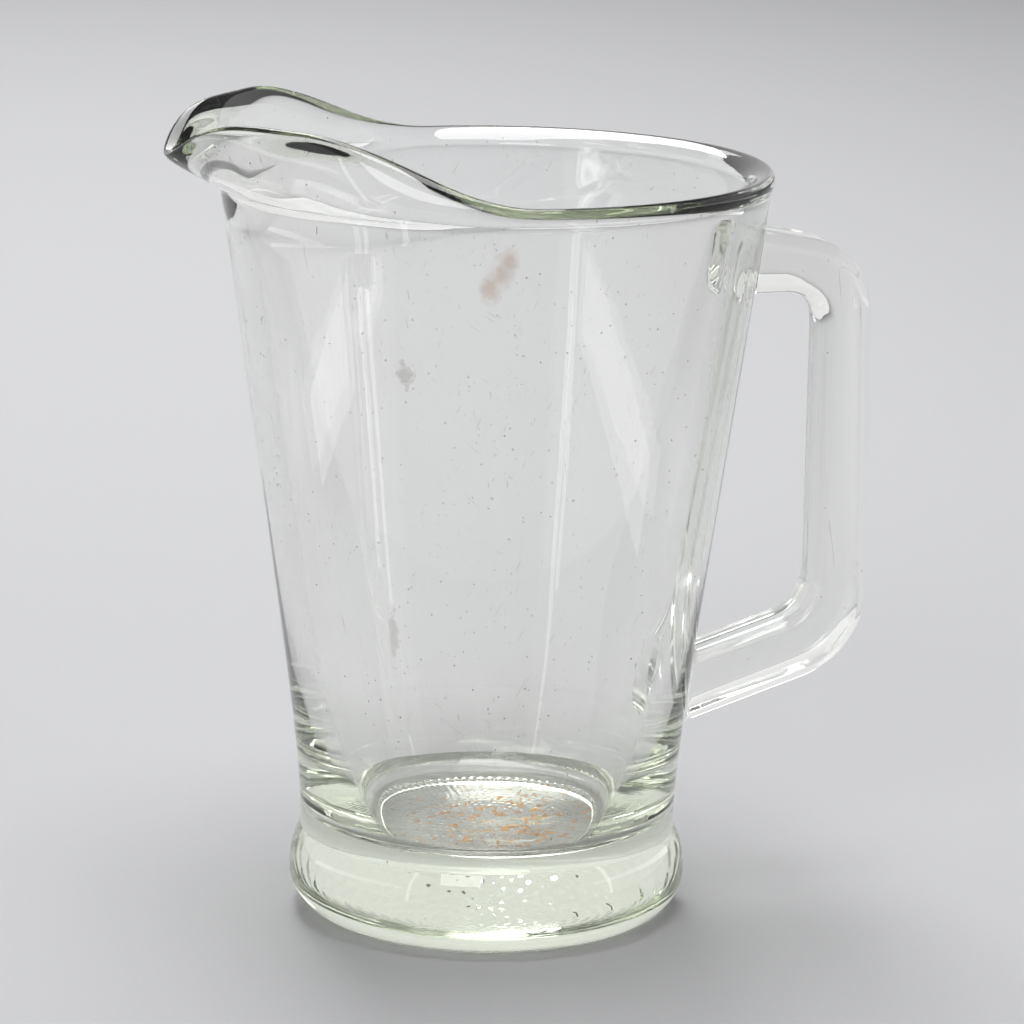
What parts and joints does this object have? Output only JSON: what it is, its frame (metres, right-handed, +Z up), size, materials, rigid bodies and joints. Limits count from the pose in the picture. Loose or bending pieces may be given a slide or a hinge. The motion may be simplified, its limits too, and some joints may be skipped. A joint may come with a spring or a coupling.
{
  "type": "beer pitcher",
  "caption": "Clear glass beer pitcher: tapered round vessel with a wide pouring lip, heavy round foot and angular side handle.",
  "frame": {"origin": "centre of the flat ring that the foot stands on", "axes": "+Z up along the vessel's axis, +X towards the handle, -X towards the pouring lip; the part is the same on both sides of Y = 0"},
  "size_m": [0.2024, 0.155, 0.2314],
  "materials": {
    "glass": "clear pressed glass, faintly green where it is thick, fire-polished, lightly scratched"
  },
  "bodies": {
    "root": {"vessel": "glass", "foot": "glass", "handle": "glass"}
  },
  "joints": []
}
